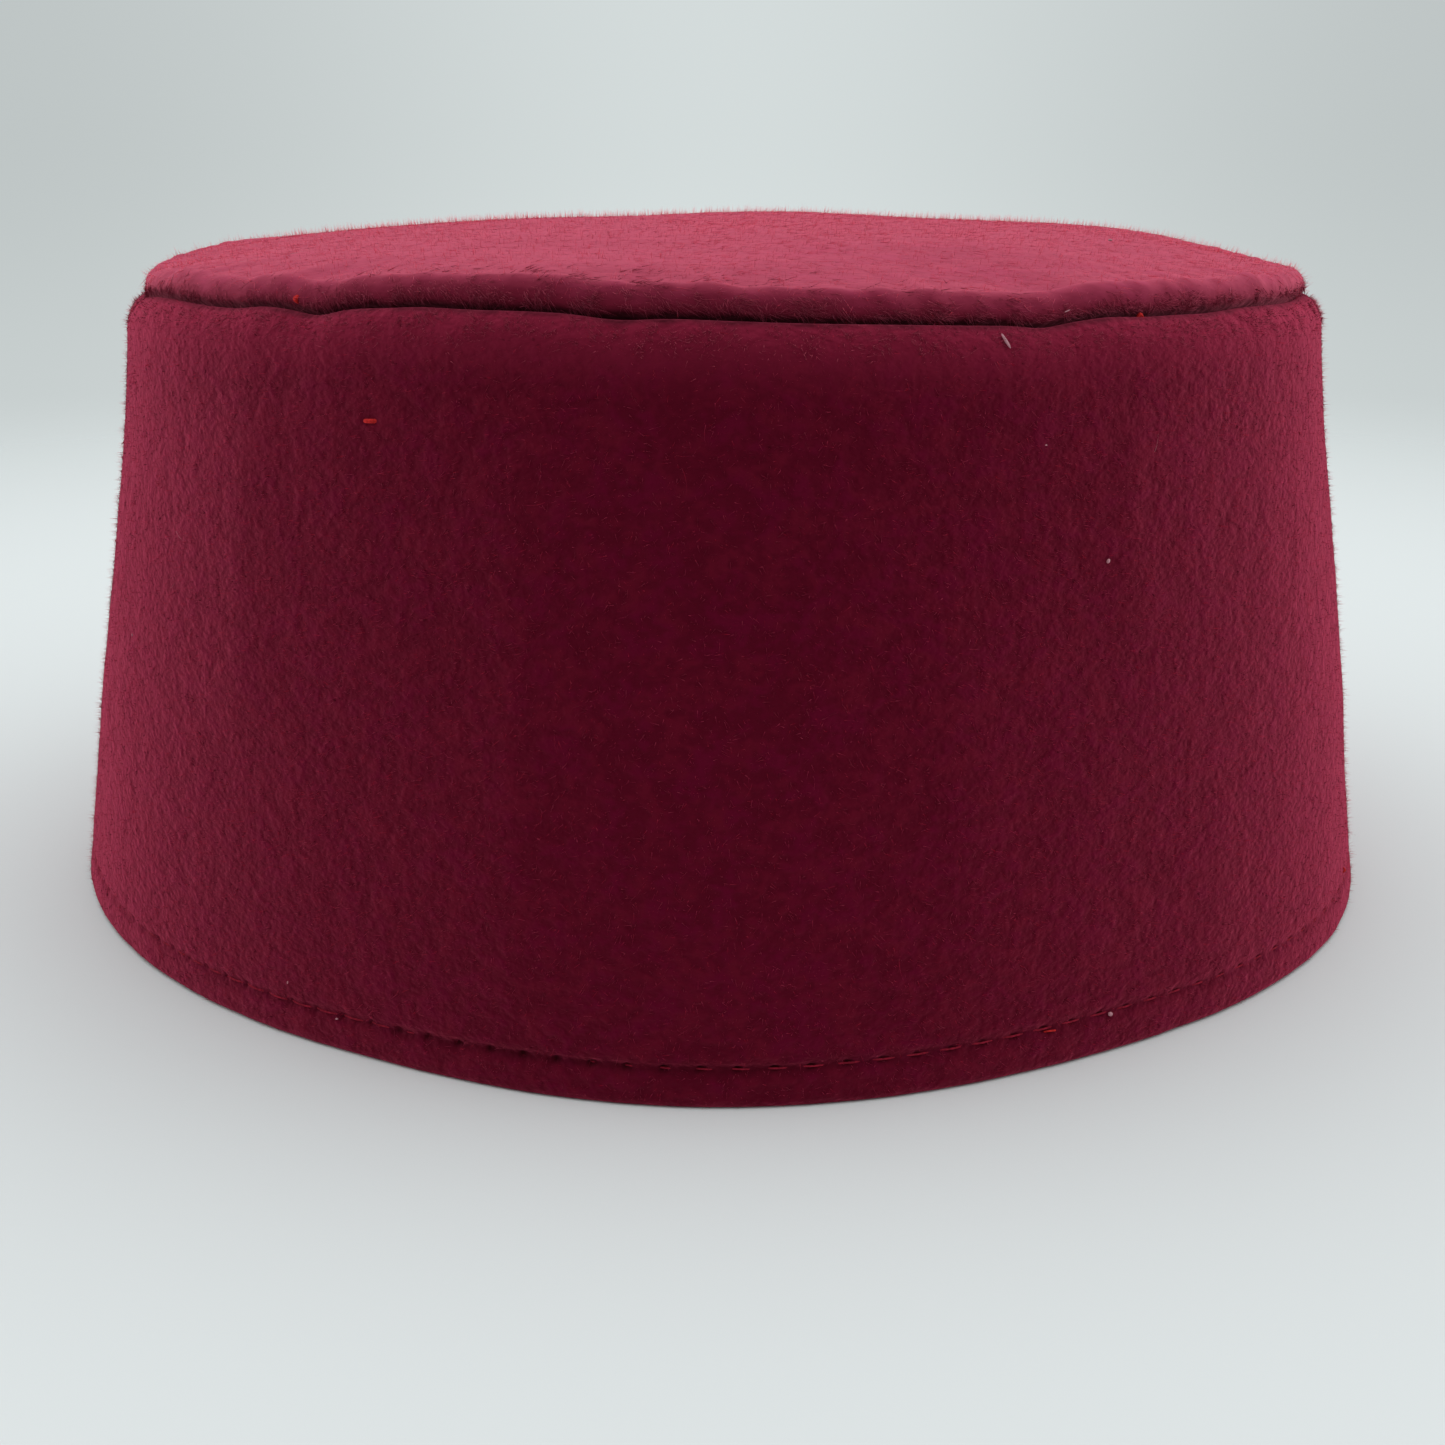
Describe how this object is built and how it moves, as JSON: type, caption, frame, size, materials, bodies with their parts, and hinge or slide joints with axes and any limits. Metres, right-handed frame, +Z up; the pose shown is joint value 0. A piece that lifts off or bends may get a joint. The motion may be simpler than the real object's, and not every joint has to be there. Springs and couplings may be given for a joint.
{
  "type": "kufi",
  "caption": "Round flat-topped kufi of brushed wool felt: an upright tapered side band with a folded, topstitched hem, and a slightly domed crown sewn in at a turned seam.",
  "frame": {"origin": "middle of the outline's box, on the plane of the hem's lower edge that the cap stands on", "axes": "+Z up, from the hem to the crown; -Y towards the front that the picture shows; +X to the right as seen from the front"},
  "size_m": [0.194, 0.1912, 0.0937],
  "materials": {
    "burgundy_felt": "pressed wool felt with a short upright nap, matt, with a soft sheen at grazing angles",
    "brushed_felt": "the same wool felt, its nap brushed sideways across the crown"
  },
  "bodies": {
    "root": {"side_band": "burgundy_felt", "crown_top": "brushed_felt"}
  },
  "joints": []
}
